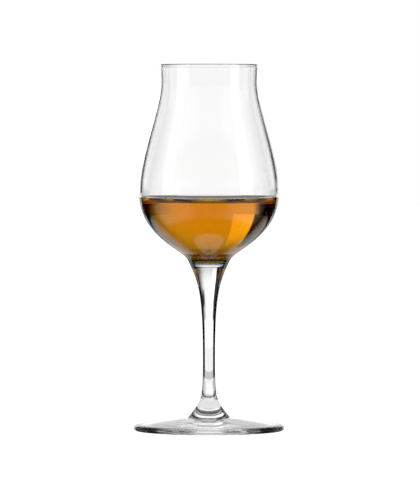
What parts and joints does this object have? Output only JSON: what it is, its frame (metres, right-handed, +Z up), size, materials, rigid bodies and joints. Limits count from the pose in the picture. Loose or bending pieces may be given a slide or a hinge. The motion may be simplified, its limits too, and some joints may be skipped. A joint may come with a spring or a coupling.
{
  "type": "whisky glass",
  "caption": "Stemmed whisky tasting glass with a full bowl drawn in to a straight neck, on a slim flared stem and round foot, holding a pour of whisky.",
  "frame": {"origin": "on the axis, in the plane of the ring that the foot stands on", "axes": "+Z up along the axis of the stem, from the foot to the rim; the glass is round, so +X and +Y are any two square directions"},
  "size_m": [0.0722, 0.0722, 0.1755],
  "materials": {
    "bowl_glass": "clear blown glass with a fire-polished rim",
    "stem_glass": "clear drawn glass, smooth and fire-polished",
    "foot_glass": "clear pressed glass, polished, with a faintly scuffed resting ring",
    "whisky": "clear amber liquid"
  },
  "bodies": {
    "root": {"bowl": "bowl_glass", "stem": "stem_glass", "foot": "foot_glass", "whisky": "whisky"}
  },
  "joints": []
}
